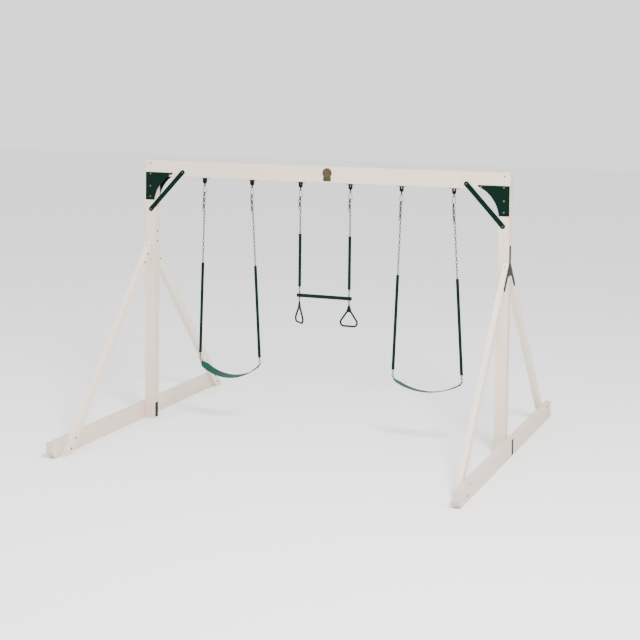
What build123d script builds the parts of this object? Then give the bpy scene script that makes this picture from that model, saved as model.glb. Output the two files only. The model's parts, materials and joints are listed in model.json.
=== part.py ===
"""Free-standing three-position swing set: two belt swings and a trapeze bar with gym rings.

Millimetres. X runs along the beam, -Y is the front, Z is up. The origin lies on the ground,
midway between the ends of the beam and of the base rails.
"""
import os
from math import asin, atan2, cos, degrees, radians, sin, sqrt, tan

from build123d import *

os.makedirs("parts", exist_ok=True)

# ---------------------------------------------------------------- driving dimensions
overall_height = 2540.0      # ground to the top of the beam
post_span = 3617.0           # outer face to outer face of the posts
beam_height = 152.4
post_width = 101.6           # the beam and the posts are equally deep
sleeve_wall = 3.0            # vinyl sleeve
core_clearance = 0.4         # timber inside its sleeve
cap_thickness = 5.5
edge_radius = 4.0

rail_height = 152.4
rail_thickness = 57.0
rail_front_reach = 1772.0    # rail end, measured from the post's centre
rail_rear_reach = 1640.0
rail_bevel = 66.0            # skid bevel under the front end
rail_cap_thickness = 5.0

brace_width = 88.9
brace_thickness = 50.8
brace_top_z = 1670.0         # where the brace's axis meets the post's face
brace_foot_y = 1575.0        # where the brace's axis meets the ground

plate_thickness = 3.0        # corner plates
corner_plate_reach = 292.0   # along the beam
corner_plate_foot = 96.0     # width at the bottom
corner_plate_top = 37.4      # above the beam's underside
corner_plate_drop = 234.0    # below the beam's underside
corner_plate_tip = 12.0      # height of the blunt tip
corner_arc_sag = 44.0
corner_plate_edge = 16.0     # bolt row below the plate's top edge

bar_width = 45.0             # diagonal flat bars
bar_thickness = 5.0
bar_high_inset = 413.0       # bar tip on the beam, from the post's outer face
bar_high_rise = 61.0         # above the beam's underside
bar_low_inset = 43.0         # bar tip on the post
bar_low_drop = 340.0         # below the beam's underside

bracket_thickness = 5.0      # A-bracket between the post and its two braces
bracket_width = 44.0
bracket_top_z = 1868.0
bracket_post_bolts = (1844.0, 1748.0)
bracket_leg_bolts = (92.0, 158.0)       # distances from the post's centre
bracket_leg_tip = 188.0
bracket_crotch_z = 1620.0

strap_thickness = 4.0        # base straps
strap_width = 50.0
strap_low_z = 12.0
strap_high_z = 150.0
strap_bolts = (38.0, 122.0)
foot_bolts = (53.0, 131.0)   # heights of the bolts through rail and brace

bolt_radius = 4.7            # 3/8 in bolts
bolt_clearance = 0.3
bolt_head_radius = 8.5
bolt_head_height = 5.0
screw_radius = 3.0
screw_head_radius = 7.0
screw_head_height = 3.0

badge_width = 91.0
badge_height = 122.0
badge_thickness = 4.0
badge_x = 78.0
badge_foot_height = 40.0
badge_foot_width = 76.0
badge_rim = 4.0
badge_recess = 1.0

hanger_spacing = 496.5
hanger_offset = 44.0         # the six hangers sit this far right of the beam's middle
hanger_base_length = 106.0
hanger_base_width = 40.0
hanger_base_thickness = 6.0
hanger_drop = 40.0           # beam underside to the pivot pin
ear_thickness = 9.0
ear_gap = 14.4
ear_radius = 15.0
pin_radius = 5.0
running_clearance = 0.05
side_clearance = 0.3
hub_radius = 10.5
ear_foot = 20.0              # half width of an ear at the base plate
pin_head_radius = 7.5
pin_head_height = 2.5
tongue_thickness = 6.0
tongue_width = 19.0
tongue_block_drop = 22.0     # the hub's full width reaches this far below the pin
eye_drop = 36.0              # pivot pin to the eye's centre
eye_radius = 10.5
eye_hole_radius = 5.5

clip_wire_radius = 3.25
clip_height = 72.0           # between wire centres
clip_top_radius = 9.0
clip_bottom_radius = 17.0
clip_seat_gap = 1.15         # clip's crown above the flat tongue it hangs on
clip_gate_inset = 6.0        # straight wire left beyond each end of the gate
gate_radius = 2.6
rest_gap = 0.3               # between parts that hang on each other

link_wire_radius = 2.5
link_inside_width = 9.0
link_inside_length = 30.0    # target; each chain divides its own length evenly
chain_seat_gap = 0.5         # first link above the clip's wire
chain_in_grip = 15.0         # length of each run's end inside its grip
rod_gap = 0.5
tail_x = -6.0                # excess links, beside the chain on the same clip
tail_rise = 1.8
tail_lean = 36.0
belt_tail_links = 6
trapeze_tail_links = 4

grip_radius = 15.0
grip_bore_radius = 6.0
grip_mouth_radius = 10.6
grip_mouth_depth = 24.0
grip_rod_radius = 5.5
grip_end_radius = 1.2
belt_grip_top = 1562.0
belt_grip_bottom = 686.0
trapeze_grip_top = 1894.0
trapeze_grip_bottom = 1396.0

apex_z = 625.0               # top of the wire triangles that carry the belt seats
triangle_in = 20.0           # belt end, inwards of the triangle's top
triangle_down = 30.0         # belt end, below the triangle's top
triangle_wire_radius = 3.5
triangle_half_base = 30.0
triangle_top_radius = 9.0
triangle_foot_radius = 6.0
belt_length = 652.0
belt_thickness = 8.0
belt_width = 140.0
belt_end_width = 92.0
belt_taper = 40.0
belt_shoulder = 13.0         # full end width this far in from the sleeve's centre
belt_neck = 4.5              # as narrow as the sleeve up to here
belt_boss_radius = 8.0
belt_boss_length = 36.0
belt_boss_bore = 3.6
left_seat_x = -919.5
left_seat_half = 315.0       # half distance between the triangles' tops
right_seat_x = 1059.0
right_seat_half = 330.0
left_seat_lean = 2.0         # degrees that a seat leans about its last links
right_seat_lean = -9.0

bar_z = 1312.0               # trapeze bar
trapeze_bar_radius = 17.5
trapeze_bar_length = 546.0
eye_wire_radius = 3.5
bar_eye_radius = 9.0         # centreline
bar_eye_rise = 14.0          # bar top to the eye's centre
shank_depth = 20.4           # eye bolt's shank below the bar's top
eye_collar_radius = 8.0
eye_collar_height = 2.5
eye_shank_radius = 4.0
swivel_wire_radius = 3.0
swivel_eye_radius = 8.0
swivel_collar_radius = 7.5
swivel_collar_height = 3.0
swivel_stem_length = 11.0
ring_link_inside = 20.0
left_ring_turn = -44.0       # degrees about Z; the right ring faces the front
ring_tube_radius = 9.0
ring_half_width = 91.0
ring_height = 218.0
ring_corner_radius = 34.0
ring_top_radius = 30.0
ring_half_angle = 35.0
ring_web_thickness = 12.0
ring_eye_radius = 11.5
ring_eye_hole = 6.3
ring_eye_thickness = 6.0
ring_seat_gap = 1.5          # ring's eye above the link it hangs on
ring_web_top = 10.0
ring_web_base = 24.0

# ---------------------------------------------------------------- derived places
half_span = post_span / 2
half_post = post_width / 2
beam_y = (rail_front_reach - rail_rear_reach) / 2    # beam's middle behind the rails' middle
beam_bottom = overall_height - beam_height
beam_middle_z = overall_height - beam_height / 2
front, rear = -1, 1
left, right = -1, 1
brace_rise = atan2(brace_foot_y - half_post, brace_top_z)   # lean from the vertical
pivot_z = beam_bottom - hanger_drop
hanger_x = [hanger_offset + hanger_spacing * (i - 2.5) for i in range(6)]
clip_top_z = pivot_z - eye_drop - eye_hole_radius + clip_wire_radius + clip_seat_gap
clip_bottom_z = clip_top_z - clip_height
chain_top_z = clip_bottom_z + clip_wire_radius + chain_seat_gap
crown_drop = triangle_wire_radius + rest_gap + link_wire_radius
link_radius = link_inside_width / 2 + link_wire_radius
hole_radius = bolt_radius + bolt_clearance
screw_hole_radius = screw_radius + bolt_clearance


def save(name, solids):
    """Shift one node's solids to the origin's frame, label them and write parts/NAME.step."""
    shift = Location((0, beam_y, 0))
    if isinstance(solids, list):
        shape = Compound(children=[solid.moved(shift) for solid in solids])
    else:
        shape = solids.moved(shift)
    shape.label = name
    export_step(shape, f"parts/{name}.step")


def axis_y(z):
    """Distance of the brace's axis from the post's centre at height z."""
    return half_post + (brace_top_z - z) * tan(brace_rise)


def axis_z(y):
    """Height of the brace's axis at distance y from the post's centre."""
    return brace_top_z - (y - half_post) / tan(brace_rise)


# ---------------------------------------------------------------- bolt places
# Each place is (inset from the post's outer face, height) or (distance from the post, height).
corner_plate_bolts = [
    (53.0, beam_bottom + corner_plate_top - corner_plate_edge),
    (260.0, beam_bottom + corner_plate_top - corner_plate_edge),
    (half_post, beam_bottom - 98.0),
    (half_post, beam_bottom - 200.0),
]
bar_run = bar_high_inset - bar_low_inset
bar_fall = bar_high_rise + bar_low_drop
bar_length = sqrt(bar_run**2 + bar_fall**2)
bar_unit = (bar_run / bar_length, bar_fall / bar_length)
bar_screws = [
    (bar_high_inset - bar_unit[0] * bar_width / 2,
     beam_bottom + bar_high_rise - bar_unit[1] * bar_width / 2),
    (bar_low_inset + bar_unit[0] * bar_width / 2,
     beam_bottom - bar_low_drop + bar_unit[1] * bar_width / 2),
]
beam_end_screw = (49.0, overall_height - 30.0)
bracket_bolts = [(0.0, z) for z in bracket_post_bolts]
bracket_bolts += [(side * y, axis_z(y)) for side in (front, rear) for y in bracket_leg_bolts]
brace_bolts = [(side * axis_y(z), z) for side in (front, rear) for z in foot_bolts]
top_screw_y = half_post + 27.0
top_screw_z = axis_z(top_screw_y) + brace_width / 2 / sin(brace_rise)
hanger_screw_x = hanger_base_length / 2 - 14.0
hanger_screw_length = 60.0
corner_screw_length = half_post - 5.0
top_screw_length = 70.0


def x_holes(places, radius):
    """Cut holes along X at (y, z) places, right through the part being built."""
    with Locations(*[Location((0, y, z), (0, 90, 0)) for y, z in places]):
        Cylinder(radius, 3 * post_span, mode=Mode.SUBTRACT)


def y_holes(places, radius, length=4 * post_width, y_middle=0.0):
    """Cut holes along Y at (x, z) places, by default right through the part being built."""
    with Locations(*[Location((x, y_middle, z), (90, 0, 0)) for x, z in places]):
        Cylinder(radius, length, mode=Mode.SUBTRACT)


def both_ends(places):
    """Turn (inset, z) places at one post into (x, z) places at both posts."""
    return [(side * (half_span - inset), z) for side in (left, right) for inset, z in places]


def top_screw_plane(side, face, depth=0.0):
    """Plane on a brace's top screw, depth below the brace's upper face, with Z into the brace."""
    y = face * (top_screw_y - depth * cos(brace_rise))
    z = top_screw_z - depth * sin(brace_rise)
    into = (0, -face * cos(brace_rise), -sin(brace_rise))
    return Plane(origin=(side * (half_span - brace_thickness / 2), y, z), x_dir=(1, 0, 0), z_dir=into)


def top_screw_holes(radius):
    """Cut the four slanted holes of the brace top screws through the part being built."""
    places = [top_screw_plane(side, face, top_screw_length / 2 - 1).location
              for side in (left, right) for face in (front, rear)]
    with Locations(*places):
        Cylinder(radius, top_screw_length + 4, mode=Mode.SUBTRACT)


# ---------------------------------------------------------------- beam
def box_sleeve(long_axis_plane, width, height, length, start):
    """Hollow rectangular vinyl section, extruded from start along the plane's normal."""
    with BuildPart() as sleeve:
        with BuildSketch(long_axis_plane.offset(start)):
            RectangleRounded(width, height, edge_radius)
            Rectangle(width - 2 * sleeve_wall, height - 2 * sleeve_wall, mode=Mode.SUBTRACT)
        extrude(amount=length)
    return sleeve.part


beam_axis = Plane(origin=(0, 0, beam_middle_z), x_dir=(0, 1, 0), z_dir=(1, 0, 0))
hanger_screw_places = [(x + dx, 0) for x in hanger_x for dx in (-hanger_screw_x, hanger_screw_x)]


def hanger_screw_holes(radius):
    """Cut the hanger screws' holes upwards from the beam's underside."""
    with Locations(*[(x, y, beam_bottom + hanger_screw_length / 2) for x, y in hanger_screw_places]):
        Cylinder(radius, hanger_screw_length + 4 * sleeve_wall, mode=Mode.SUBTRACT)


def beam_holes():
    """Cut every bolt and screw hole of the beam, sleeve or core."""
    y_holes(both_ends(corner_plate_bolts[:2]), hole_radius)
    y_holes(both_ends(bar_screws[:1]), screw_hole_radius, post_width, -half_post)
    y_holes(both_ends([beam_end_screw]), screw_hole_radius, post_width, -half_post)
    hanger_screw_holes(screw_hole_radius)


with BuildPart() as beam_sleeve:
    add(box_sleeve(beam_axis, post_width, beam_height, post_span, -half_span))
    beam_holes()
save("beam_sleeve", beam_sleeve.part)

core_loss = 2 * (sleeve_wall + core_clearance)
with BuildPart() as beam_core:
    with Locations((0, 0, beam_middle_z)):
        Box(post_span - 2, post_width - core_loss, beam_height - core_loss)
    beam_holes()
save("beam_core", beam_core.part)


def beam_end_cap(side):
    """Moulded cap over one end of the beam, its outer edges rounded."""
    with BuildPart() as cap:
        with Locations((side * (half_span + cap_thickness / 2), 0, beam_middle_z)):
            Box(cap_thickness, post_width, beam_height)
        outer = cap.faces().sort_by(Axis.X)[-1 if side == right else 0]
        fillet(outer.edges(), 2.5)
    return cap.part


save("beam_end_caps", [beam_end_cap(side) for side in (left, right)])


# ---------------------------------------------------------------- posts
def post_holes():
    """Cut every bolt and screw hole of the posts, sleeves or cores."""
    y_holes(both_ends(corner_plate_bolts[2:]), hole_radius)
    y_holes(both_ends(bar_screws[1:]), screw_hole_radius, post_width, -half_post)
    x_holes([(0, z) for z in bracket_post_bolts + strap_bolts], hole_radius)
    top_screw_holes(screw_hole_radius)


for side, name in ((left, "left"), (right, "right")):
    post_axis = Plane(origin=(side * (half_span - half_post), 0, 0))
    with BuildPart() as post_sleeve:
        add(box_sleeve(post_axis, post_width, post_width, beam_bottom, 0))
        post_holes()
    save(f"{name}_post_sleeve", post_sleeve.part)


def post_core(side):
    """Timber inside one post."""
    with BuildPart() as core:
        with Locations((side * (half_span - half_post), 0, beam_bottom / 2)):
            Box(post_width - core_loss, post_width - core_loss, beam_bottom - 1)
        post_holes()
    return core.part


save("post_cores", [post_core(side) for side in (left, right)])


# ---------------------------------------------------------------- base rails
def rail_outline(inset):
    """Side outline of a rail, its two ends pulled in by inset, as (y, z) corners."""
    nose = -rail_front_reach + inset
    tail = rail_rear_reach - inset
    bevel = rail_bevel - inset * (2 - sqrt(2))
    return [(nose, bevel), (nose, rail_height), (tail, rail_height), (tail, 0), (nose + bevel, 0)]


def rail_holes():
    """Cut the holes of the brace foot bolts and of the base strap bolts."""
    x_holes(brace_bolts, hole_radius)
    x_holes([(0, z) for z in strap_bolts], hole_radius)


def rail_plane(side, outset):
    """Side plane of a rail, outset from the post's outer face, with local x along Y."""
    return Plane(origin=(side * (half_span + outset), 0, 0), x_dir=(0, 1, 0), z_dir=(1, 0, 0))


def rail_solid(side, inset, skin):
    """A rail's full side outline, skin thinner all round, extruded through its thickness."""
    with BuildPart() as rail:
        with BuildSketch(rail_plane(side, rail_thickness / 2)):
            with BuildLine():
                Polyline(*rail_outline(inset), close=True)
            make_face()
        extrude(amount=rail_thickness / 2 - skin, both=True)
        if skin:
            with Locations((side * (half_span + rail_thickness / 2), 0, rail_height / 2)):
                Box(rail_thickness, 2 * rail_front_reach, rail_height - 2 * skin,
                    mode=Mode.INTERSECT)
    return rail.part


for side, name in ((left, "left"), (right, "right")):
    with BuildPart() as base_rail:
        add(rail_solid(side, rail_cap_thickness, 0))
        along = base_rail.edges().filter_by(Axis.Y).group_by(Axis.Z)
        fillet(along[0] + along[-1], edge_radius)
        with Locations((side * (half_span + rail_thickness / 2), 0, rail_height / 2)):
            Box(rail_thickness - 2 * sleeve_wall, 3 * rail_front_reach,
                rail_height - 2 * sleeve_wall, mode=Mode.SUBTRACT)
        rail_holes()
    save(f"{name}_base_rail", base_rail.part)


def rail_core(side):
    """Timber inside one rail."""
    with BuildPart() as core:
        add(rail_solid(side, rail_cap_thickness + core_clearance, sleeve_wall + core_clearance))
        rail_holes()
    return core.part


def rail_cap(side, end):
    """Cap that closes one end of a rail, following the bevel at the front."""
    with BuildPart() as cap:
        add(rail_solid(side, 0, 0))
        add(rail_solid(side, rail_cap_thickness, 0), mode=Mode.SUBTRACT)
        keep_y = end * (rail_front_reach - rail_bevel / 2)
        with Locations((side * (half_span + rail_thickness / 2), keep_y, rail_height / 2)):
            Box(rail_thickness, 2 * rail_bevel + 260, rail_height, mode=Mode.INTERSECT)
    return cap.part


save("rail_cores", [rail_core(side) for side in (left, right)])
save("rail_end_caps", [rail_cap(side, end) for side in (left, right) for end in (front, rear)])


# ---------------------------------------------------------------- braces
def brace_solid(side, face, width, thickness, end_gap=0.0):
    """Slanted member, mitred against the post's face and cut level on the ground."""
    rise = width / 2 / sin(brace_rise)
    reach = width / 2 / cos(brace_rise)
    near = half_post + end_gap
    low = end_gap
    slope = tan(brace_rise)
    corners = [
        (near, brace_top_z + rise - end_gap / slope),
        (near, brace_top_z - rise - end_gap / slope),
        (brace_foot_y - reach - low * slope, low),
        (brace_foot_y + reach - low * slope, low),
    ]
    with BuildPart() as brace:
        middle = side * (half_span - brace_thickness / 2)
        with BuildSketch(Plane(origin=(middle, 0, 0), x_dir=(0, 1, 0), z_dir=(1, 0, 0))):
            with BuildLine():
                Polyline(*[(face * y, z) for y, z in corners], close=True)
            make_face()
        extrude(amount=thickness / 2, both=True)
    return brace.part


def brace_holes():
    """Cut the foot bolts', bracket bolts' and top screws' holes of a brace."""
    x_holes(brace_bolts, hole_radius)
    x_holes(bracket_bolts[2:], hole_radius)
    top_screw_holes(screw_hole_radius)


for side, side_name in ((left, "left"), (right, "right")):
    for face, face_name in ((front, "front"), (rear, "rear")):
        with BuildPart() as brace:
            add(brace_solid(side, face, brace_width, brace_thickness))
            slanted = brace.edges().filter_by(lambda e: e.length > 0.5 * brace_foot_y)
            fillet(slanted, edge_radius)
            add(brace_solid(side, face, brace_width - 2 * sleeve_wall,
                            brace_thickness - 2 * sleeve_wall), mode=Mode.SUBTRACT)
            brace_holes()
        save(f"{side_name}_{face_name}_brace", brace.part)


def brace_core(side, face):
    """Timber inside one brace."""
    with BuildPart() as core:
        add(brace_solid(side, face, brace_width - core_loss, brace_thickness - core_loss,
                        core_clearance))
        brace_holes()
    return core.part


save("brace_cores", [brace_core(side, face) for side in (left, right) for face in (front, rear)])


# ---------------------------------------------------------------- corner plates and bars
def face_plane(face, outset=0.0):
    """Front or rear face of the beam, with local x along X and local y along Z."""
    return Plane(origin=(0, face * (half_post + outset), 0), x_dir=(1, 0, 0), z_dir=(0, -1, 0))


def corner_plate(side, face):
    """Gusset plate with a concave inner edge over the joint of beam and post."""
    top = beam_bottom + corner_plate_top
    bottom = beam_bottom - corner_plate_drop
    tip = (corner_plate_reach, top - corner_plate_tip)
    foot = (corner_plate_foot, bottom)
    chord = (foot[0] - tip[0], foot[1] - tip[1])
    chord_length = sqrt(chord[0]**2 + chord[1]**2)
    bulge = ((tip[0] + foot[0]) / 2 + chord[1] / chord_length * corner_arc_sag,
             (tip[1] + foot[1]) / 2 - chord[0] / chord_length * corner_arc_sag)

    def place(point):
        return (side * (half_span - point[0]), point[1])

    with BuildPart() as plate:
        with BuildSketch(face_plane(face, plate_thickness / 2)) as outline:
            with BuildLine():
                Polyline(*[place(p) for p in (tip, (corner_plate_reach, top), (0.5, top),
                                              (0.5, bottom), foot)])
                ThreePointArc(place(foot), place(bulge), place(tip))
            make_face()
            fillet(outline.vertices(), 4.0)
        extrude(amount=plate_thickness / 2, both=True)
        y_holes(both_ends(corner_plate_bolts), hole_radius)
    return plate.part


for face, name in ((front, "front"), (rear, "rear")):
    save(f"{name}_corner_plates", [corner_plate(side, face) for side in (left, right)])


def corner_bar(side, face):
    """Flat bar with round ends, from the beam's face down to the post's face."""
    ends = [(side * (half_span - inset), z) for inset, z in bar_screws]
    middle = ((ends[0][0] + ends[1][0]) / 2, (ends[0][1] + ends[1][1]) / 2)
    turn = degrees(atan2(ends[1][1] - ends[0][1], ends[1][0] - ends[0][0]))
    with BuildPart() as bar:
        with BuildSketch(face_plane(face, bar_thickness / 2)):
            with Locations(Location((middle[0], middle[1], 0), (0, 0, turn))):
                SlotCenterToCenter(bar_length - bar_width, bar_width)
        extrude(amount=bar_thickness / 2, both=True)
        y_holes(both_ends(bar_screws), screw_hole_radius)
    return bar.part


save("corner_bars", [corner_bar(side, front) for side in (left, right)])


# ---------------------------------------------------------------- A-brackets and base straps
def a_bracket(side):
    """Flat inverted-Y bracket on the post's outer face, its two legs along the braces."""
    apex = axis_z(0)
    tip_y, tip_z = bracket_leg_tip, axis_z(bracket_leg_tip)
    half = bracket_width / 2
    across = (half * cos(brace_rise), half * sin(brace_rise))
    with BuildPart() as bracket:
        with BuildSketch(rail_plane(side, bracket_thickness / 2)):
            with Locations((0, (bracket_top_z + apex) / 2)):
                RectangleRounded(bracket_width, bracket_top_z - apex + 2 * half, 8)
            for face in (front, rear):
                with BuildLine():
                    Polyline(
                        (face * across[0], apex + across[1]),
                        (-face * across[0], apex - across[1]),
                        (face * (tip_y - across[0]), tip_z - across[1]),
                        (face * (tip_y + 0.5 * bracket_width * sin(brace_rise)),
                         tip_z - 0.5 * bracket_width * cos(brace_rise)),
                        (face * (tip_y + across[0]), tip_z + across[1]),
                        close=True)
                make_face()
            with BuildLine():
                reach = (apex - bracket_crotch_z) * tan(brace_rise)
                Polyline((0, apex), (reach, bracket_crotch_z), (-reach, bracket_crotch_z), close=True)
            make_face()
        extrude(amount=bracket_thickness / 2, both=True)
        x_holes(bracket_bolts, hole_radius)
    return bracket.part


save("a_brackets", [a_bracket(side) for side in (left, right)])


def base_strap(side, outset):
    """Flat strap on the rail's outer face or on the post's inner face."""
    with BuildPart() as strap:
        with BuildSketch(rail_plane(side, outset)):
            with Locations((0, (strap_low_z + strap_high_z) / 2)):
                RectangleRounded(strap_width, strap_high_z - strap_low_z, 5)
        extrude(amount=strap_thickness / 2, both=True)
        x_holes([(0, z) for z in strap_bolts], hole_radius)
    return strap.part


strap_outsets = (rail_thickness + strap_thickness / 2, -post_width - strap_thickness / 2)
save("base_straps", [base_strap(side, outset) for side in (left, right) for outset in strap_outsets])


# ---------------------------------------------------------------- fasteners
def through_bolt(head_plane, grip):
    """Dome-headed bolt with its nut: the head sits on the plane and the nut grip below it."""
    below = grip + bolt_head_height + 4
    with BuildPart() as bolt:
        with BuildSketch(head_plane):
            Circle(bolt_head_radius)
        extrude(amount=bolt_head_height)
        fillet(bolt.edges().sort_by(lambda e: head_plane.to_local_coords(e.center()).Z)[-1],
               bolt_head_height * 0.6)
        with BuildSketch(head_plane):
            Circle(bolt_radius)
        extrude(amount=-below)
    with BuildPart() as nut:
        with BuildSketch(head_plane.offset(-grip)):
            RegularPolygon(bolt_head_radius, 6)
            Circle(bolt_radius + running_clearance, mode=Mode.SUBTRACT)
        extrude(amount=-bolt_head_height)
    return [bolt.part, nut.part]


def wood_screw(head_plane, length):
    """Pan-headed screw whose head sits on the plane."""
    with BuildPart() as screw:
        with BuildSketch(head_plane):
            Circle(screw_head_radius)
        extrude(amount=screw_head_height)
        fillet(screw.edges().sort_by(lambda e: head_plane.to_local_coords(e.center()).Z)[-1],
               screw_head_height * 0.6)
        with BuildSketch(head_plane):
            Circle(screw_radius)
        extrude(amount=-length)
    return screw.part


def outward_plane(axis, sign, place):
    """Plane at place whose normal is sign times the X or Y axis."""
    normal = (sign, 0, 0) if axis == "x" else (0, sign, 0)
    return Plane(origin=place, x_dir=(0, 0, 1), z_dir=normal)


def flat(lists):
    """Join lists of solids."""
    return [solid for group in lists for solid in group]


save("corner_plate_bolts", flat([
    through_bolt(outward_plane("y", front, (x, -half_post - plate_thickness, z)),
                 post_width + 2 * plate_thickness)
    for x, z in both_ends(corner_plate_bolts)]))

save("corner_bar_screws", [
    wood_screw(outward_plane("y", front, (x, -half_post - bar_thickness, z)), corner_screw_length)
    for x, z in both_ends(bar_screws)])

bracket_bolt_list = []
for side in (left, right):
    head_x = side * (half_span + bracket_thickness)
    for y, z in bracket_bolts:
        member = post_width if y == 0 else brace_thickness
        bracket_bolt_list += through_bolt(outward_plane("x", side, (head_x, y, z)),
                                          member + bracket_thickness)
save("a_bracket_bolts", bracket_bolt_list)

save("base_strap_bolts", flat([
    through_bolt(outward_plane("x", side, (side * (half_span + rail_thickness + strap_thickness), 0, z)),
                 rail_thickness + post_width + 2 * strap_thickness)
    for side in (left, right) for z in strap_bolts]))

save("brace_foot_bolts", flat([
    through_bolt(outward_plane("x", side, (side * (half_span + rail_thickness), y, z)),
                 rail_thickness + brace_thickness)
    for side in (left, right) for y, z in brace_bolts]))


def flipped(plane):
    """The same plane facing the other way."""
    return Plane(origin=plane.origin, x_dir=plane.x_dir, z_dir=-plane.z_dir)


save("frame_screws", [
    wood_screw(flipped(top_screw_plane(side, face)), top_screw_length)
    for side in (left, right) for face in (front, rear)] + [
    wood_screw(outward_plane("y", front, (x, -half_post, z)), corner_screw_length)
    for x, z in both_ends([beam_end_screw])])


# ---------------------------------------------------------------- badge
def badge_outline(inset):
    """Round head on a square foot, drawn in by inset."""
    with Locations((badge_x, beam_middle_z + (badge_height - badge_width) / 2)):
        Circle(badge_width / 2 - inset)
    with Locations((badge_x, beam_middle_z - badge_height / 2 + badge_foot_height / 2)):
        RectangleRounded(badge_foot_width - 2 * inset, badge_foot_height - 2 * inset, 4)


with BuildPart() as beam_badge:
    with BuildSketch(face_plane(front)):
        badge_outline(0)
    extrude(amount=badge_thickness)
    with BuildSketch(face_plane(front, badge_thickness)):
        badge_outline(badge_rim)
    extrude(amount=-badge_recess, mode=Mode.SUBTRACT)
save("beam_badge", beam_badge.part)


# ---------------------------------------------------------------- hangers under the beam
def x_cylinder(radius, length, place, mode=Mode.ADD):
    """Cylinder along X, centred on place."""
    with Locations(Location(place, (0, 90, 0))):
        Cylinder(radius, length, mode=mode)


def hanger_bracket(x):
    """Base plate under the beam with two ears that hold the pivot pin."""
    plate_bottom = beam_bottom - hanger_base_thickness
    with BuildPart() as bracket:
        with BuildSketch(Plane.XY.offset(plate_bottom)):
            with Locations((x, 0)):
                RectangleRounded(hanger_base_length, hanger_base_width, 10)
        extrude(amount=hanger_base_thickness)
        for side in (left, right):
            middle = x + side * (ear_gap + ear_thickness) / 2
            with BuildSketch(Plane(origin=(middle, 0, 0), x_dir=(0, 1, 0), z_dir=(1, 0, 0))):
                with BuildLine():
                    Polyline((-ear_foot, plate_bottom), (ear_foot, plate_bottom),
                             (ear_radius, pivot_z), (-ear_radius, pivot_z), close=True)
                make_face()
                with Locations((0, pivot_z)):
                    Circle(ear_radius)
            extrude(amount=ear_thickness / 2, both=True)
        x_cylinder(pin_radius + running_clearance, 2 * hanger_base_length, (x, 0, pivot_z),
                   Mode.SUBTRACT)
        with Locations(*[(x + side * hanger_screw_x, 0, plate_bottom) for side in (left, right)]):
            Cylinder(screw_hole_radius, 4 * hanger_base_thickness, mode=Mode.SUBTRACT)
    return bracket.part


def hanger_pin(x):
    """Riveted pivot pin with a head beyond each ear."""
    reach = ear_gap / 2 + ear_thickness
    with BuildPart() as pin:
        x_cylinder(pin_radius, 2 * reach, (x, 0, pivot_z))
        for side in (left, right):
            x_cylinder(pin_head_radius, pin_head_height,
                       (x + side * (reach + pin_head_height / 2), 0, pivot_z))
    return pin.part


def hanger_eye(x):
    """Swinging tongue: a hub on the pin and a flat eye for the clip."""
    eye_z = pivot_z - eye_drop
    with BuildPart() as eye:
        with Locations((x, 0, pivot_z - eye_drop / 2)):
            Box(tongue_thickness, tongue_width, eye_drop)
        hub_width = ear_gap - 2 * side_clearance
        with Locations((x, 0, pivot_z - tongue_block_drop / 2)):
            Box(hub_width, tongue_width, tongue_block_drop)
        x_cylinder(hub_radius, hub_width, (x, 0, pivot_z))
        x_cylinder(eye_radius, tongue_thickness, (x, 0, eye_z))
        x_cylinder(pin_radius + running_clearance, ear_gap, (x, 0, pivot_z), Mode.SUBTRACT)
        x_cylinder(eye_hole_radius, ear_gap, (x, 0, eye_z), Mode.SUBTRACT)
    return eye.part


save("hanger_brackets", [hanger_bracket(x) for x in hanger_x])
save("hanger_screws", [
    wood_screw(Plane(origin=(x, y, beam_bottom - hanger_base_thickness), x_dir=(1, 0, 0),
                     z_dir=(0, 0, -1)), hanger_screw_length)
    for x, y in hanger_screw_places])
save("hanger_pins", [hanger_pin(x) for x in hanger_x])


# ---------------------------------------------------------------- clips and their gates
def swept_wire(path, radius):
    """Round wire along a path, which may be closed."""
    with BuildPart() as wire:
        with BuildSketch(Plane(origin=path @ 0, z_dir=path % 0)):
            Circle(radius)
        sweep(path=path)
    return wire.part


clip_lean = asin((clip_bottom_radius - clip_top_radius)
                 / (clip_height - clip_top_radius - clip_bottom_radius))


def clip_points(x):
    """Right-hand tangent points of the clip's bow, and the two ends of its gate."""
    across = Vector(cos(clip_lean), 0, sin(clip_lean))
    along = Vector(-sin(clip_lean), 0, cos(clip_lean))
    low = Vector(x, 0, clip_bottom_z + clip_bottom_radius) + across * clip_bottom_radius
    high = Vector(x, 0, clip_top_z - clip_top_radius) + across * clip_top_radius
    return low, high, low + along * clip_gate_inset, high - along * clip_gate_inset, along


def clip_bow(x):
    """Pear-shaped wire bow of one clip, open where the gate closes it."""
    low, high, gate_low, gate_high, along = clip_points(x)
    stop = along * (gate_radius + rest_gap)

    def mirrored(point):
        return Vector(2 * x - point.X, 0, point.Z)

    with BuildLine() as bow:
        Line(gate_low - stop, low)
        ThreePointArc(low, (x, 0, clip_bottom_z), mirrored(low))
        Line(mirrored(low), mirrored(high))
        ThreePointArc(mirrored(high), (x, 0, clip_top_z), high)
        Line(high, gate_high + stop)
    return swept_wire(bow.line, clip_wire_radius)


def clip_gate(x):
    """Sprung gate with round ends, hinged at its lower end."""
    gate_low, gate_high = clip_points(x)[2:4]
    span = gate_high - gate_low
    with BuildPart() as gate:
        with Locations(Plane(origin=(gate_low + gate_high) * 0.5, z_dir=span).location):
            Cylinder(gate_radius, span.length + 2 * gate_radius)
        fillet(gate.edges().filter_by(GeomType.CIRCLE), 0.96 * gate_radius)
    return gate.part


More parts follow.
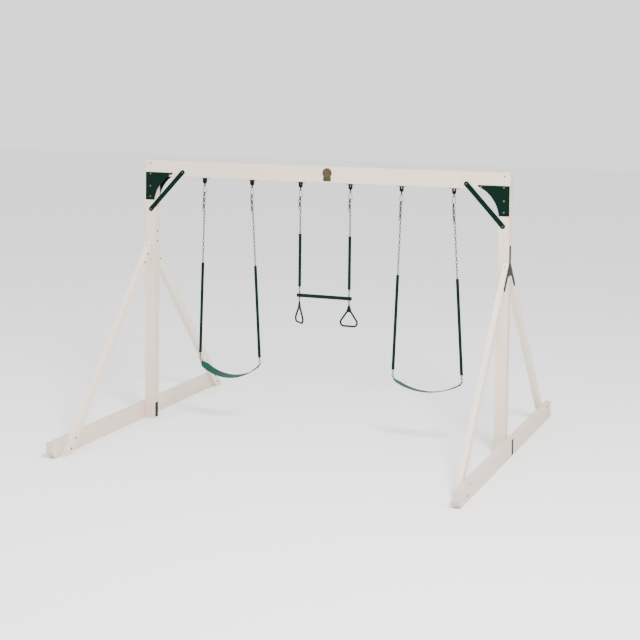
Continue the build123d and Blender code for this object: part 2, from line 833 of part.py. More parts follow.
# ---------------------------------------------------------------- chains and grips
def chain_link(inside):
    """One welded link of the given inside length, upright in the XZ plane."""
    half = inside / 2 + link_wire_radius - link_radius
    with BuildLine() as loop:
        Line((link_radius, 0, 0), (link_radius, 0, half))
        ThreePointArc((link_radius, 0, half), (0, 0, half + link_radius), (-link_radius, 0, half))
        Line((-link_radius, 0, half), (-link_radius, 0, -half))
        ThreePointArc((-link_radius, 0, -half), (0, 0, -half - link_radius),
                      (link_radius, 0, -half))
        Line((link_radius, 0, -half), (link_radius, 0, 0))
    return swept_wire(loop.line, link_wire_radius)


def chain_run(frame, length, first_turn=None, last_turn=None):
    """Links hanging down frame's Z, dividing the inner length evenly and turning by quarters."""
    count = max(1, round(length / link_inside_length))
    inside = (length + (count - 1) * rest_gap) / count
    if first_turn is None:
        first_turn = last_turn + 90 * (count - 1)
    link = chain_link(inside)
    return [link.moved(frame * Location((0, 0, -inside / 2 - i * (inside - rest_gap)),
                                        (0, 0, (first_turn + 90 * i) % 180)))
            for i in range(count)]


def chain_tail(frame, count):
    """Excess links that hang in front of the chain from the same clip."""
    inside = link_inside_length
    link = chain_link(inside)
    hook = clip_wire_radius + chain_seat_gap
    pivot = frame * Location((tail_x, 0, tail_rise - hook))
    links = [link.moved(pivot * Location((0, 0, 0), (-tail_lean, 0, 0))
                        * Location((0, 0, hook - inside / 2), (0, 0, 90)))]
    reach = inside - hook - link_wire_radius - rest_gap
    hung = pivot * Location((0, -reach * sin(radians(tail_lean)),
                             -reach * cos(radians(tail_lean)) - link_wire_radius))
    for i in range(count - 1):
        links.append(link.moved(hung * Location((0, 0, -inside / 2 - i * (inside - rest_gap)),
                                                (0, 0, 90 * (i % 2)))))
    return links


def chain_line(x, crown_x, crown_z):
    """Frame at the top of a chain with -Z along it, and a function from height to distance."""
    drop = chain_top_z - crown_z
    lean = atan2(crown_x - x, drop)
    frame = Location((x, 0, chain_top_z), (0, -degrees(lean), 0))
    return frame, lambda z: (chain_top_z - z) / cos(lean)


def chain_and_grip(x, crown_x, crown_z, grip_top, grip_bottom, tail_count):
    """Both runs of one chain, the length inside its grip and the tail, then the grip."""
    frame, along = chain_line(x, crown_x, crown_z)
    top, bottom = along(grip_top), along(grip_bottom)
    solids = chain_run(frame, top + chain_in_grip, first_turn=90)
    low_start = bottom - chain_in_grip - rest_gap
    low_end = along(crown_z) - link_wire_radius
    solids += chain_run(frame * Location((0, 0, -low_start)), low_end - low_start, last_turn=0)
    rod_top = top + chain_in_grip + 2 * link_wire_radius + rod_gap
    rod_bottom = low_start - 2 * link_wire_radius - rod_gap
    with BuildPart() as rod:
        Cylinder(grip_rod_radius, rod_bottom - rod_top)
    solids.append(rod.part.moved(frame * Location((0, 0, -(rod_top + rod_bottom) / 2))))
    solids += chain_tail(frame, tail_count)

    length = bottom - top
    with BuildPart() as grip:
        Cylinder(grip_radius, length)
        fillet(grip.edges().filter_by(GeomType.CIRCLE), grip_end_radius)
        Cylinder(grip_bore_radius, length, mode=Mode.SUBTRACT)
        for end in (-1, 1):
            with Locations((0, 0, end * (length - grip_mouth_depth) / 2)):
                Cylinder(grip_mouth_radius, grip_mouth_depth, mode=Mode.SUBTRACT)
    return solids, grip.part.moved(frame * Location((0, 0, -(top + bottom) / 2)))


def save_chain_set(name, xs, crowns, grip_top, grip_bottom, tail_count):
    """Write one seat's pair of hanger eyes, clips, gates, chains and grips."""
    save(f"{name}_hanger_eyes", [hanger_eye(x) for x in xs])
    save(f"{name}_clips", [clip_bow(x) for x in xs])
    for x, side_name in zip(xs, ("left", "right")):
        save(f"{name}_{side_name}_gate", clip_gate(x))
    sets = [chain_and_grip(x, crown_x, crown_z, grip_top, grip_bottom, tail_count)
            for x, (crown_x, crown_z) in zip(xs, crowns)]
    save(f"{name}_chains", flat([solids for solids, grip in sets]))
    save(f"{name}_grips", [grip for solids, grip in sets])


# ---------------------------------------------------------------- belt swings
seat_crown_z = apex_z - crown_drop
belt_end_z = apex_z - triangle_down


def belt_seat(middle_x, half):
    """Flexible belt hanging in an arc, tapered to a wire sleeve at each end."""
    reach = half - triangle_in
    chord = 2 * reach
    sag = sqrt((belt_length - chord) * 3 / 8 * chord)
    radius = (reach**2 + sag**2) / (2 * sag)
    centre_z = belt_end_z - sag + radius
    span = asin(reach / radius)

    def arc_point(offset, angle):
        return (middle_x + (radius + offset) * sin(angle),
                centre_z - (radius + offset) * cos(angle))

    rim = belt_thickness / 2
    half_width, half_end, half_boss = belt_width / 2, belt_end_width / 2, belt_boss_length / 2
    with BuildPart() as belt:
        with BuildSketch(Plane(origin=(0, 0, 0), x_dir=(1, 0, 0), z_dir=(0, -1, 0))):
            with BuildLine():
                ThreePointArc(arc_point(rim, -span), arc_point(rim, 0), arc_point(rim, span))
                Line(arc_point(rim, span), arc_point(-rim, span))
                ThreePointArc(arc_point(-rim, span), arc_point(-rim, 0), arc_point(-rim, -span))
                Line(arc_point(-rim, -span), arc_point(rim, -span))
            make_face()
        extrude(amount=half_width, both=True)
        outline = [(reach + rim, half_boss), (reach - belt_neck, half_boss),
                   (reach - belt_shoulder, half_end), (reach - belt_taper, half_width)]
        plan = [(middle_x + x, y) for x, y in outline]
        plan += [(middle_x - x, y) for x, y in reversed(outline)]
        plan += [(middle_x - x, -y) for x, y in outline]
        plan += [(middle_x + x, -y) for x, y in reversed(outline)]
        with BuildSketch(Plane.XY.offset(belt_end_z - 2 * sag)) as cutter:
            with BuildLine():
                Polyline(*plan, close=True)
            make_face()
        extrude(amount=3 * sag, mode=Mode.INTERSECT)
        ends = [Location((middle_x + side * reach, 0, belt_end_z), (90, 0, 0))
                for side in (left, right)]
        with Locations(*ends):
            Cylinder(belt_boss_radius, belt_boss_length)
        with Locations(*ends):
            Cylinder(belt_boss_bore, belt_width, mode=Mode.SUBTRACT)
    return belt.part


def seat_triangle(middle_x, half, side):
    """Wire triangle from a belt's sleeve up to the last link."""
    foot = Vector(middle_x + side * (half - triangle_in), 0, belt_end_z)
    up = Vector(side * triangle_in, 0, triangle_down)
    plane = Plane(origin=foot, x_dir=(0, 1, 0), z_dir=(up.Z, 0, -up.X))
    with BuildLine(plane) as loop:
        FilletPolyline((-triangle_half_base, 0), (triangle_half_base, 0),
                       (triangle_top_radius, up.length), (-triangle_top_radius, up.length),
                       radius=[triangle_foot_radius] * 2 + [triangle_top_radius] * 2, close=True)
    return swept_wire(loop.line, triangle_wire_radius)


swings = {
    "left": (left_seat_x, left_seat_half, left_seat_lean, hanger_x[:2]),
    "right": (right_seat_x, right_seat_half, right_seat_lean, hanger_x[4:]),
}
for name, (seat_x, half, lean, xs) in swings.items():
    crowns = [(seat_x + side * half, seat_crown_z) for side in (left, right)]
    save_chain_set(f"{name}_swing", xs, crowns, belt_grip_top, belt_grip_bottom, belt_tail_links)
    leaning = Location((0, 0, seat_crown_z), (lean, 0, 0)) * Location((0, 0, -seat_crown_z))
    save(f"{name}_seat_belt", belt_seat(seat_x, half).moved(leaning))
    save(f"{name}_seat_triangles",
         [seat_triangle(seat_x, half, side).moved(leaning) for side in (left, right)])


# ---------------------------------------------------------------- trapeze bar
trapeze_x = hanger_x[2:4]
bar_top_eye_z = bar_z + trapeze_bar_radius + bar_eye_rise
bar_crown_z = bar_top_eye_z + bar_eye_radius - crown_drop
save_chain_set("trapeze", trapeze_x, [(x, bar_crown_z) for x in trapeze_x],
               trapeze_grip_top, trapeze_grip_bottom, trapeze_tail_links)

with BuildPart() as trapeze_bar:
    x_cylinder(trapeze_bar_radius, trapeze_bar_length, (sum(trapeze_x) / 2, 0, bar_z))
    fillet(trapeze_bar.edges().filter_by(GeomType.CIRCLE), 4)
    with Locations(*[(x, 0, bar_z) for x in trapeze_x]):
        Cylinder(eye_shank_radius + rest_gap, 4 * trapeze_bar_radius, mode=Mode.SUBTRACT)
save("trapeze_bar", trapeze_bar.part)


def eye_bolt(x):
    """Eye bolt on top of the bar, its eye across the bar for the last link."""
    with BuildPart() as bolt:
        foot = bar_z - shank_depth + trapeze_bar_radius
        neck = bar_top_eye_z - bar_eye_radius
        with Locations((x, 0, (foot + neck) / 2)):
            Cylinder(eye_shank_radius, neck - foot)
        with Locations((x, 0, bar_z + trapeze_bar_radius + eye_collar_height / 2)):
            Cylinder(eye_collar_radius, eye_collar_height)
        with Locations(Location((x, 0, bar_top_eye_z), (0, 90, 0))):
            Torus(bar_eye_radius, eye_wire_radius)
    return bolt.part


save("trapeze_eye_bolts", [eye_bolt(x) for x in trapeze_x])


# ---------------------------------------------------------------- gym rings
def turned(x, turn):
    """Frame on the bar's axis at a ring, turned about the vertical."""
    return Location((x, 0, bar_z), (0, 0, turn))


collar_top = -trapeze_bar_radius - rest_gap
collar_bottom = collar_top - swivel_collar_height
swivel_eye_z = collar_bottom - 10.0
ring_axis_z = swivel_eye_z - swivel_eye_radius
ring_link_top = ring_axis_z + swivel_wire_radius + rest_gap
ring_link_bottom = ring_link_top - ring_link_inside
ring_eye_z = ring_link_bottom + ring_seat_gap - ring_eye_hole
ring_top = ring_eye_z + ring_eye_radius
ring_base_z = ring_top - ring_height + ring_tube_radius


def ring_swivel():
    """Swivel stem with a collar under the bar and an eye for the ring's link."""
    with BuildPart() as swivel:
        stem_top = collar_top + swivel_stem_length
        stem_bottom = swivel_eye_z + swivel_eye_radius
        with Locations((0, 0, (stem_top + stem_bottom) / 2)):
            Cylinder(eye_shank_radius, stem_top - stem_bottom)
        with Locations((0, 0, (collar_top + collar_bottom) / 2)):
            Cylinder(swivel_collar_radius, swivel_collar_height)
        with Locations(Location((0, 0, swivel_eye_z), (90, 0, 0))):
            Torus(swivel_eye_radius, swivel_wire_radius)
    return swivel.part


def ring_link():
    """Short link across the ring's plane."""
    middle = (ring_link_top + ring_link_bottom) / 2
    return chain_link(ring_link_inside).moved(Location((0, 0, middle), (0, 0, 90)))


def gym_ring():
    """Rounded triangular ring with a flat web and a thinner eye above its top."""
    tilt = radians(ring_half_angle)
    corner_reach = ring_half_width - ring_tube_radius
    base_half = corner_reach + ring_corner_radius * (1 / tan((radians(90) - tilt) / 2) - 1)
    peak = ring_base_z + base_half / tan(tilt)
    web_top = ring_link_bottom - 2 * link_wire_radius - 7.0
    plane = Plane(origin=(0, 0, 0), x_dir=(1, 0, 0), z_dir=(0, -1, 0))
    side_x, side_z = sin(tilt), cos(tilt)

    def low_corner():
        """Tangent points and middle of the right-hand bottom corner."""
        cut = ring_corner_radius / tan((radians(90) - tilt) / 2)
        middle = (base_half - cut, ring_base_z + ring_corner_radius)
        swing = (radians(-90) + tilt) / 2
        return ((base_half - cut, ring_base_z),
                (middle[0] + ring_corner_radius * cos(swing),
                 middle[1] + ring_corner_radius * sin(swing)),
                (base_half - cut * side_x, ring_base_z + cut * side_z))

    start, bend, end = low_corner()
    top_cut = ring_top_radius / tan(tilt)
    shoulder = (top_cut * side_x, peak - top_cut * side_z)
    crown = (0, peak - ring_top_radius / sin(tilt) + ring_top_radius)

    def flip(point):
        return (-point[0], point[1])

    with BuildLine(plane) as loop:
        Line((0, ring_base_z), start)
        ThreePointArc(start, bend, end)
        Line(end, shoulder)
        ThreePointArc(shoulder, crown, flip(shoulder))
        Line(flip(shoulder), flip(end))
        ThreePointArc(flip(end), flip(bend), flip(start))
        Line(flip(start), (0, ring_base_z))
    with BuildPart() as ring:
        add(swept_wire(loop.line, ring_tube_radius))
        with BuildSketch(plane):
            with BuildLine():
                Polyline((-ring_web_top, web_top), (ring_web_top, web_top),
                         (ring_web_base, crown[1]), (-ring_web_base, crown[1]), close=True)
            make_face()
        extrude(amount=ring_web_thickness / 2, both=True)
        with BuildSketch(plane):
            with Locations((0, ring_eye_z)):
                Circle(ring_eye_radius)
            with Locations((0, (ring_eye_z + web_top) / 2 - 2)):
                Rectangle(2 * ring_web_top, ring_eye_z - web_top + 4)
        extrude(amount=ring_eye_thickness / 2, both=True)
        with Locations(Location((0, 0, ring_eye_z), (90, 0, 0))):
            Cylinder(ring_eye_hole, 4 * ring_web_thickness, mode=Mode.SUBTRACT)
    return ring.part


for name, x, turn in (("left", trapeze_x[0], left_ring_turn), ("right", trapeze_x[1], 0.0)):
    place = turned(x, turn)
    save(f"{name}_ring_swivel", ring_swivel().moved(place))
    save(f"{name}_ring_link", ring_link().moved(place))
    save(f"{name}_ring", gym_ring().moved(place))
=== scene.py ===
# %% [markdown]
# # A garden swing set
# The set stands on the ground on two base rails. Square vinyl sleeves over timber make the posts,
# the beam and the slanted braces, and dark green steel plates hold them together. Two belt swings
# and a trapeze bar with two gym rings hang on zinc-plated chains. We load the finished frame, give
# every piece its finish, and work out the soft and moulded pieces again as smooth surfaces.

# %% Load the frame
import json
import math

import bpy
import numpy as np
from mathutils import Matrix, Vector


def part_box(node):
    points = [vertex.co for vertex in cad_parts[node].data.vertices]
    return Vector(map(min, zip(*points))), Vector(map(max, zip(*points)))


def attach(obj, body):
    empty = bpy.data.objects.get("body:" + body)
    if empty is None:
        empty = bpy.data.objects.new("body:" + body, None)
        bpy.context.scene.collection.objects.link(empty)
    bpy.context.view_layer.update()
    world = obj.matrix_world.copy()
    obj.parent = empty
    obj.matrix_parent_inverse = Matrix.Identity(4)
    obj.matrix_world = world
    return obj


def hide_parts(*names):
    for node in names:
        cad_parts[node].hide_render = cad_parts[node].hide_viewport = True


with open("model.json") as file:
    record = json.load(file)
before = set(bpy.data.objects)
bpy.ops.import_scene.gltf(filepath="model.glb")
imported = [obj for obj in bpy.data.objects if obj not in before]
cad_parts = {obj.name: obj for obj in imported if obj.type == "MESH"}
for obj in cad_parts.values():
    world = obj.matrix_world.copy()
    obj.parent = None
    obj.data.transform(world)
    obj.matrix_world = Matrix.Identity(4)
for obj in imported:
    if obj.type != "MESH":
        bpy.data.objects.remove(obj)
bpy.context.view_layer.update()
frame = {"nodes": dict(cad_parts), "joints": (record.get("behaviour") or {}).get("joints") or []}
nodes = frame["nodes"]

# %% [markdown]
# ## The camera
# A long lens stands well back to the right of the set, a little above the beam. The lens is
# shifted down, as an architectural lens is, so that the posts stay upright in the view.

# %% Camera
camera_data = bpy.data.cameras.new("camera")
camera_data.lens = 81.106875
camera_data.shift_y = -0.25
camera_data.clip_end = 100
camera = bpy.data.objects.new("camera", camera_data)
bpy.context.scene.collection.objects.link(camera)
bpy.context.scene.camera = camera

heading, pitch, roll = -0.36657, -0.06051, 0.01199
ahead = Vector((math.sin(heading) * math.cos(pitch), math.cos(heading) * math.cos(pitch),
                math.sin(pitch)))
level = Vector((math.cos(heading), -math.sin(heading), 0))
upright = level.cross(ahead)
across = math.cos(roll) * level + math.sin(roll) * upright
upright = -math.sin(roll) * level + math.cos(roll) * upright
turn = Matrix((across, upright, -ahead)).transposed()
camera.matrix_world = Matrix.Translation((4.79581, -12.46122, 3.40764)) @ turn.to_4x4()
print("camera", camera.location)

# %% [markdown]
# ## Floor and light
# The floor is plain and pale. A wide soft light above and to the right in front, and an even sky,
# give the quiet shading of a studio.

# %% Floor and light
floor_mesh = bpy.data.meshes.new("floor")
floor_mesh.from_pydata([(-40, -40, 0), (40, -40, 0), (40, 40, 0), (-40, 40, 0)], [], [(0, 1, 2, 3)])
floor = bpy.data.objects.new("floor", floor_mesh)
floor.location.z = -0.0005
bpy.context.scene.collection.objects.link(floor)


def soft_light(name, place, aim, size, power):
    """A square area light at place, turned to shine at aim."""
    data = bpy.data.lights.new(name, "AREA")
    data.size, data.energy = size, power
    light = bpy.data.objects.new(name, data)
    light.location = place
    light.rotation_euler = (Vector(aim) - Vector(place)).to_track_quat("-Z", "Y").to_euler()
    bpy.context.scene.collection.objects.link(light)


soft_light("key_light", (5.0, -7.0, 8.5), (0, 0, 1.0), 3.0, 2300)
soft_light("fill_light", (-8.0, -5.0, 5.0), (0, 0, 1.2), 5.0, 260)
world = bpy.data.worlds.new("studio")
bpy.context.scene.world = world
world.use_nodes = True
world.node_tree.nodes["Background"].inputs["Color"].default_value = (1.0, 1.0, 1.0, 1)
world.node_tree.nodes["Background"].inputs["Strength"].default_value = 1.60

# %% [markdown]
# ## Sums in the shader
# A finish is mostly arithmetic on noise and on height above the ground. One small class wraps a
# node's output so that an ordinary Python sum adds the Math nodes, and the Finish class makes
# every other node from its type, its settings and its inputs.


# %% Socket and Finish
class Socket:
    """A node's output. Adding, taking away or multiplying it adds a Math node."""

    def __init__(self, finish, output):
        self.finish, self.output = finish, output

    def math(self, operation, first, second):
        return self.finish.node("ShaderNodeMath", {"operation": operation}, {0: first, 1: second})

    def __add__(self, other):
        return self.math("ADD", self, other)

    def __radd__(self, other):
        return self.math("ADD", other, self)

    def __sub__(self, other):
        return self.math("SUBTRACT", self, other)

    def __rsub__(self, other):
        return self.math("SUBTRACT", other, self)

    def __mul__(self, other):
        return self.math("MULTIPLY", self, other)

    def __rmul__(self, other):
        return self.math("MULTIPLY", other, self)

    def above(self, edge, soft):
        """0 below edge, 1 above edge + soft, and even between them."""
        return self.finish.node("ShaderNodeMapRange", {"clamp": True},
                                {"Value": self, "From Min": edge, "From Max": edge + soft})


class Finish:
    """A material whose nodes are added one by one, ending in a Principled shader."""

    def __init__(self, name, metallic=0.0, specular=0.5):
        self.material = bpy.data.materials.new(name)
        self.material.use_nodes = True
        self.tree = self.material.node_tree
        self.shader = self.tree.nodes["Principled BSDF"]
        self.shader.inputs["Metallic"].default_value = metallic
        self.shader.inputs["Specular IOR Level"].default_value = specular

    def node(self, kind, settings=None, inputs=None, output=0):
        """One node: its settings are set first, then its inputs take values or links."""
        node = self.tree.nodes.new(kind)
        for key, value in (settings or {}).items():
            if key == "stops":
                for stop, (place, colour) in zip(node.color_ramp.elements, value):
                    stop.position, stop.color = place, (*colour, 1)
            else:
                setattr(node, key, value)
        for key, value in (inputs or {}).items():
            self.feed(node.inputs[key], value)
        return Socket(self, node.outputs[output])

    def feed(self, socket, value):
        """Link a Socket into a node's input, or set its plain value."""
        if isinstance(value, Socket):
            self.tree.links.new(value.output, socket)
        elif isinstance(value, tuple) and socket.type == "RGBA":
            socket.default_value = (*value, 1)
        else:
            socket.default_value = value

    def place(self):
        """The point in the object's own space."""
        return self.node("ShaderNodeTexCoord", output="Object")

    def height(self):
        """Height above the ground, in metres."""
        return self.node("ShaderNodeSeparateXYZ", {}, {0: self.place()}, output=2)

    def noise(self, scale, detail=3.0, stretch=None, roughness=0.5):
        """Noise with about scale lumps to a metre, drawn out along each axis by stretch."""
        point = self.place()
        if stretch:
            point = self.node("ShaderNodeVectorMath", {"operation": "MULTIPLY"},
                              {0: point, 1: stretch})
        return self.node("ShaderNodeTexNoise", {}, {"Vector": point, "Scale": scale,
                                                    "Detail": detail, "Roughness": roughness})

    def mix(self, amount, first, second, blend="MIX"):
        """Mix two colours."""
        node = self.tree.nodes.new("ShaderNodeMix")
        node.data_type, node.blend_type = "RGBA", blend
        self.feed(node.inputs[0], amount)
        self.feed(node.inputs[6], first)
        self.feed(node.inputs[7], second)
        return Socket(self, node.outputs[2])

    def bump(self, height, distance, strength=1.0):
        """Bump from a height of 0 to 1, distance in metres."""
        return self.node("ShaderNodeBump", {}, {"Strength": strength, "Distance": distance,
                                                "Height": height})

    def surface(self, **inputs):
        """Feed the shader: words with an underscore name its sockets."""
        for key, value in inputs.items():
            self.feed(self.shader.inputs[key.replace("_", " ")], value)
        return self.material


# %% [markdown]
# ## Vinyl sleeves
# The sleeves are extruded vinyl in a warm almond. Extrusion leaves very faint lines along the
# length and slow changes of tone, and rain splashes leave a slightly darker, duller band near
# the ground. The noise is drawn out along each piece's own length.


# %% Vinyl
def vinyl(name, tone, stretch):
    """Almond vinyl of the given tone, its faint lines running where stretch is small."""
    finish = Finish(name, specular=0.30)
    clouds = finish.noise(1.7, 4.0)
    lines = finish.noise(160.0, 2.0, stretch)
    specks = finish.noise(420.0, 2.0)
    splash = (1 - finish.height().above(0.0, 0.30)) * finish.noise(9.0, 5.0)
    dull = tuple(channel * 0.90 for channel in tone)
    soil = tuple(channel * share for channel, share in zip(tone, (0.74, 0.70, 0.64)))
    colour = finish.mix(clouds.above(0.35, 0.35) * 0.55, tone, dull)
    colour = finish.mix(splash * 0.45, colour, soil)
    rough = 0.40 + lines * 0.10 + splash * 0.20
    relief = finish.bump(lines * 0.7 + specks * 0.3, 0.00025, 0.6)
    return finish.surface(Base_Color=colour, Roughness=rough, Normal=relief)


along_x, along_y, along_z = (0.02, 1, 1), (1, 0.02, 1), (1, 1, 0.02)
almond = (0.640, 0.525, 0.420)
# A paler copy of the almond for the braces: painted light, standing in for the brighter light on
# their upward-leaning faces.
painted_light_almond = (0.720, 0.630, 0.540)
finishes = {
    "beam_sleeve": vinyl("beam_vinyl", almond, along_x),
    "left_post_sleeve": vinyl("post_vinyl", almond, along_z),
    "left_base_rail": vinyl("rail_vinyl", (0.660, 0.555, 0.455), along_y),
    "left_front_brace": vinyl("brace_vinyl", painted_light_almond, (1, 0.05, 0.05)),
    # A darker copy of the almond for the end caps: painted shade on the ends that are turned away
    # from the light.
    "beam_end_caps": vinyl("cap_vinyl", (0.560, 0.480, 0.400), (1, 1, 1)),
}
finishes["right_post_sleeve"] = finishes["left_post_sleeve"]
finishes["right_base_rail"] = finishes["left_base_rail"]
finishes["rail_end_caps"] = finishes["beam_end_caps"]
for brace in ("left_rear_brace", "right_front_brace", "right_rear_brace"):
    finishes[brace] = finishes["left_front_brace"]
print(len(finishes), "vinyl pieces")

# %% [markdown]
# ## Timber
# Inside every sleeve is a sawn softwood core. Its grain is noise drawn out along the length, with
# darker late wood where the noise is high.


# %% Timber
def timber(name, stretch):
    """Sawn softwood with its grain running where stretch is small."""
    finish = Finish(name, specular=0.3)
    grain = finish.noise(60.0, 6.0, stretch, 0.6)
    late = grain.above(0.50, 0.16)
    colour = finish.mix(late, (0.52, 0.35, 0.19), (0.30, 0.17, 0.08))
    relief = finish.bump(grain, 0.0006)
    return finish.surface(Base_Color=colour, Roughness=0.66 + grain * 0.2, Normal=relief)


finishes["beam_core"] = timber("beam_timber", along_x)
finishes["post_cores"] = timber("post_timber", along_z)
finishes["rail_cores"] = timber("rail_timber", along_y)
finishes["brace_cores"] = timber("brace_timber", (1, 0.05, 0.05))

# %% [markdown]
# ## Powder-coated steel
# The brackets are steel plate in a green so dark that it is nearly black. Powder coat has a fine
# orange-peel skin, little gloss, and a few dusty lighter patches.


# %% Powder coat
def powder_coat(name, tone, dust, rough):
    """Powder coat of the given tone, with a fine orange-peel skin and dusty patches."""
    finish = Finish(name, specular=0.05)
    peel = finish.noise(700.0, 1.5)
    patches = finish.noise(14.0, 5.0).above(0.48, 0.3)
    colour = finish.mix(patches * 0.35, tone, dust)
    relief = finish.bump(peel, 0.00015, 0.7)
    return finish.surface(Base_Color=colour, Roughness=rough + patches * 0.14, Normal=relief)


green_coat = powder_coat("green_powder_coat", (0.0010, 0.0085, 0.0052), (0.003, 0.012, 0.008), 0.40)
for plate in ("front_corner_plates", "rear_corner_plates", "corner_bars", "a_brackets",
              "base_straps"):
    finishes[plate] = green_coat
black_coat = powder_coat("black_hanger_coat", (0.003, 0.003, 0.003), (0.009, 0.009, 0.008), 0.42)
finishes["hanger_brackets"] = black_coat
for seat in ("left_swing", "right_swing", "trapeze"):
    finishes[f"{seat}_hanger_eyes"] = black_coat

# %% [markdown]
# ## Zinc plate
# Chains, clips, bolts and triangles are zinc plated. The plate is grey and mottled with small
# crystals, darker in its stains, and rough enough that it never mirrors.


# %% Zinc
def zinc(name, tone, rough, metallic):
    """Mottled zinc plate."""
    finish = Finish(name, metallic=metallic, specular=0.15)
    crystals = finish.node("ShaderNodeTexVoronoi", {"feature": "F1"},
                           {"Vector": finish.place(), "Scale": 260.0})
    stains = finish.noise(35.0, 4.0)
    shade = tuple(channel * 0.62 for channel in tone)
    colour = finish.mix(stains.above(0.42, 0.25) * 0.7, tone, shade)
    relief = finish.bump(stains, 0.0002, 0.6)
    return finish.surface(Base_Color=colour, Roughness=rough + crystals * 0.12 + stains * 0.1,
                          Normal=relief)


bright_zinc = zinc("bright_zinc", (0.105, 0.103, 0.098), 0.36, 0.55)
chain_zinc = zinc("chain_zinc", (0.034, 0.033, 0.031), 0.42, 0.25)
for fastener in ("corner_plate_bolts", "corner_bar_screws", "a_bracket_bolts", "base_strap_bolts",
                 "brace_foot_bolts", "frame_screws", "hanger_screws", "hanger_pins",
                 "left_seat_triangles", "right_seat_triangles", "trapeze_eye_bolts",
                 "left_ring_swivel", "right_ring_swivel", "left_ring_link", "right_ring_link"):
    finishes[fastener] = bright_zinc
for seat in ("left_swing", "right_swing", "trapeze"):
    finishes[f"{seat}_chains"] = chain_zinc
    finishes[f"{seat}_clips"] = bright_zinc
    for side in ("left", "right"):
        finishes[f"{seat}_{side}_gate"] = bright_zinc

# %% [markdown]
# ## Green rubber and plastic
# The grips are soft vinyl hose dipped over the chain, the belts are moulded rubber with a fine
# pebbled skin, and the bar and the rings have a thick, smoother plastic skin. They share one
# recipe: a tone, a lighter bloom where hands and sun have dulled it, and a skin of its own scale.


# %% Rubber
def moulded(name, tone, bloom, rough, skin_scale, skin_depth, specular):
    """Moulded rubber or plastic with a pebbled skin and a pale bloom."""
    finish = Finish(name, specular=specular)
    skin = finish.noise(skin_scale, 2.0)
    worn = finish.noise(11.0, 5.0).above(0.45, 0.3)
    colour = finish.mix(worn * 0.5, tone, bloom)
    relief = finish.bump(skin, skin_depth, 0.7)
    return finish.surface(Base_Color=colour, Roughness=rough + worn * 0.12 + skin * 0.06,
                          Normal=relief)


grip_green = moulded("grip_vinyl", (0.0010, 0.0090, 0.0060), (0.002, 0.015, 0.010), 0.42, 500.0,
                     0.0002, 0.06)
belt_green = moulded("belt_rubber", (0.0004, 0.042, 0.027), (0.001, 0.054, 0.036), 0.46, 380.0,
                     0.0004, 0.08)
bar_green = moulded("bar_plastic", (0.0010, 0.0090, 0.0065), (0.002, 0.014, 0.010), 0.26, 160.0,
                    0.0002, 0.08)
for seat in ("left_swing", "right_swing", "trapeze"):
    finishes[f"{seat}_grips"] = grip_green
finishes["left_seat_belt"] = finishes["right_seat_belt"] = belt_green
finishes["trapeze_bar"] = finishes["left_ring"] = finishes["right_ring"] = bar_green

# %% [markdown]
# ## The badge
# A small cast badge sits in the middle of the beam. It is aged bronze: brown in its hollows and
# rubbed to gold on what stands proud.


# %% Bronze
bronze = Finish("aged_bronze", metallic=0.75)
tarnish = bronze.noise(90.0, 5.0)
bronze_tone = bronze.mix(tarnish.above(0.40, 0.25), (0.095, 0.070, 0.040), (0.028, 0.019, 0.011))
finishes["beam_badge"] = bronze.surface(Base_Color=bronze_tone, Roughness=0.32 + tarnish * 0.25,
                                        Normal=bronze.bump(tarnish, 0.0006))

# %% [markdown]
# ## Surfaces from two numbers
# The belts, the grips and the badge's relief are soft or moulded, so each is worked out as a
# smooth surface: a function that takes a grid of two numbers, one along the piece and one round
# it, and gives a point for each. One helper turns such a grid into a mesh.


# %% Grid to mesh
def grid_mesh(name, grids, finish, smooth=True):
    """A mesh from grids of points, rows by columns by 3, each closed round its columns.

    Each row joins to the next with quads, and the last column joins to the first.
    """
    points, faces, start = [], [], 0
    for grid in grids:
        rows, columns = grid.shape[:2]
        index = np.arange(rows * columns).reshape(rows, columns)
        beside = np.roll(index, -1, axis=1)
        quads = np.stack([index[:-1], index[1:], beside[1:], beside[:-1]], axis=-1)
        points.append(grid.reshape(-1, 3))
        faces.append(quads.reshape(-1, 4) + start)
        start += rows * columns
    mesh = bpy.data.meshes.new(name)
    mesh.from_pydata(np.concatenate(points).tolist(), [], np.concatenate(faces).tolist())
    mesh.polygons.foreach_set("use_smooth", np.full(len(mesh.polygons), smooth))
    mesh.materials.append(finish)
    piece = bpy.data.objects.new(name, mesh)
    bpy.context.scene.collection.objects.link(piece)
    tidy = piece.modifiers.new("close", "WELD")
    tidy.merge_threshold = 1e-6
    return piece


def turned_profile(profile, centre, axis, columns=40):
    """A profile of (distance along, radius) pairs carried once round an axis.

    Each point is the centre, plus its distance along the axis, plus its radius times the turning
    unit vector cos(a) across + sin(a) beside.
    """
    axis = np.array(axis, float) / np.linalg.norm(axis)
    across = np.cross(axis, (0.0, 1.0, 0.0) if abs(axis[1]) < 0.9 else (1.0, 0.0, 0.0))
    across /= np.linalg.norm(across)
    beside = np.cross(axis, across)
    angle = np.linspace(0, 2 * np.pi, columns, endpoint=False)
    round_it = np.cos(angle)[:, None] * across + np.sin(angle)[:, None] * beside
    along, radius = np.array(profile, float).T
    return (np.array(centre) + along[:, None, None] * axis
            + radius[:, None, None] * round_it[None])


